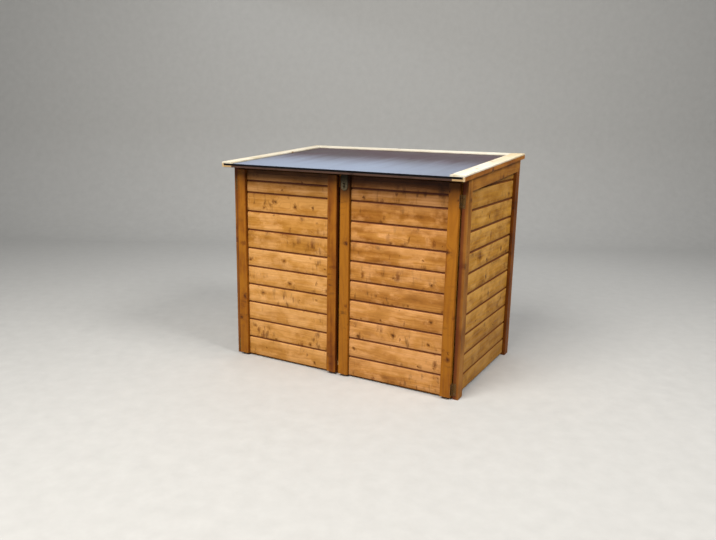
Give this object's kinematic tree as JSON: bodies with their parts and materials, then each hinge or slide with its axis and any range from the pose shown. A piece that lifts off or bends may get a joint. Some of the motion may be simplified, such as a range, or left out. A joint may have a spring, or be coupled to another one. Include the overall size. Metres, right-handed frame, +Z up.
{
  "type": "garden_storage_box",
  "caption": "Wooden garden storage box with lapped boards, a pent lift-up lid, double front doors, hasp and inner bolt",
  "frame": {"origin": "on the ground under the centre of the lid", "axes": "X to the right seen from the front, doors face -Y, Z up"},
  "size_m": [1.344, 0.9218, 1.1314],
  "materials": {
    "stained_boards": "satin",
    "stained_frame": "satin",
    "raw_pine": "matte",
    "film_faced_board": "satin",
    "zinc_plate": "satin"
  },
  "bodies": {
    "carcass": {"front_left_stile": "stained_frame", "front_right_stile": "stained_frame", "back_left_stile": "stained_frame", "back_right_stile": "stained_frame", "left_top_rail": "stained_boards", "right_top_rail": "stained_boards", "back_top_rail": "stained_frame", "front_top_rail": "stained_frame", "back_stud": "stained_boards", "corner_battens": "stained_boards", "left_side_boards": "stained_boards", "right_side_boards": "stained_boards", "back_boards": "stained_boards", "floor_bearers": "stained_frame", "floor_boards": "stained_boards", "left_post_leaves": "zinc_plate", "right_post_leaves": "zinc_plate", "back_hinge_leaves": "zinc_plate", "left_door_pins": "zinc_plate", "right_door_pins": "zinc_plate", "lid_hinge_pins": "zinc_plate", "carcass_screws": "zinc_plate"},
    "lid": {"roof_panel": "film_faced_board", "lid_front_rail": "stained_boards", "lid_back_rail": "stained_boards", "lid_cleats": "stained_boards", "left_barge_board": "stained_boards", "right_barge_board": "stained_boards", "left_batten": "raw_pine", "right_batten": "raw_pine", "back_batten": "raw_pine", "lid_hinge_leaves": "zinc_plate", "hasp_base": "zinc_plate", "hasp_pin": "zinc_plate", "lid_screws": "zinc_plate"},
    "hasp_strap": {"hasp_strap": "zinc_plate"},
    "left_door": {"left_hinge_stile": "stained_frame", "left_meeting_stile": "stained_frame", "left_door_boards": "stained_boards", "left_door_battens": "stained_boards", "left_door_ledges": "stained_boards", "left_door_leaves": "zinc_plate", "left_door_screws": "zinc_plate", "bolt_plate": "zinc_plate"},
    "door_bolt": {"bolt_rod": "zinc_plate"},
    "right_door": {"right_hinge_stile": "stained_frame", "right_meeting_stile": "stained_frame", "right_door_boards": "stained_boards", "right_door_battens": "stained_boards", "right_door_ledges": "stained_boards", "right_door_leaves": "zinc_plate", "right_door_screws": "zinc_plate", "hasp_staple": "zinc_plate"}
  },
  "joints": [
    {"name": "lid_hinge", "type": "hinge", "parent": "carcass", "child": "lid", "pos_m": [0, 0.42867, 1.09793], "axis": [-1, 0, 0], "range_deg": [0, 90]},
    {"name": "left_door_hinge", "type": "hinge", "parent": "carcass", "child": "left_door", "pos_m": [-0.6294, -0.37813, 0.5], "axis": [0, 0, -1], "range_deg": [0, 100]},
    {"name": "right_door_hinge", "type": "hinge", "parent": "carcass", "child": "right_door", "pos_m": [0.6294, -0.37813, 0.5], "axis": [0, 0, 1], "range_deg": [0, 100]},
    {"name": "hasp_hinge", "type": "hinge", "parent": "lid", "child": "hasp_strap", "pos_m": [0.036, -0.40214, 1.04275], "axis": [-1, 0, 0], "range_deg": [0, 88]},
    {"name": "bolt_slide", "type": "slide", "parent": "left_door", "child": "door_bolt", "axis": [0, 0, 1], "range_m": [0, 0.024]}
  ]
}
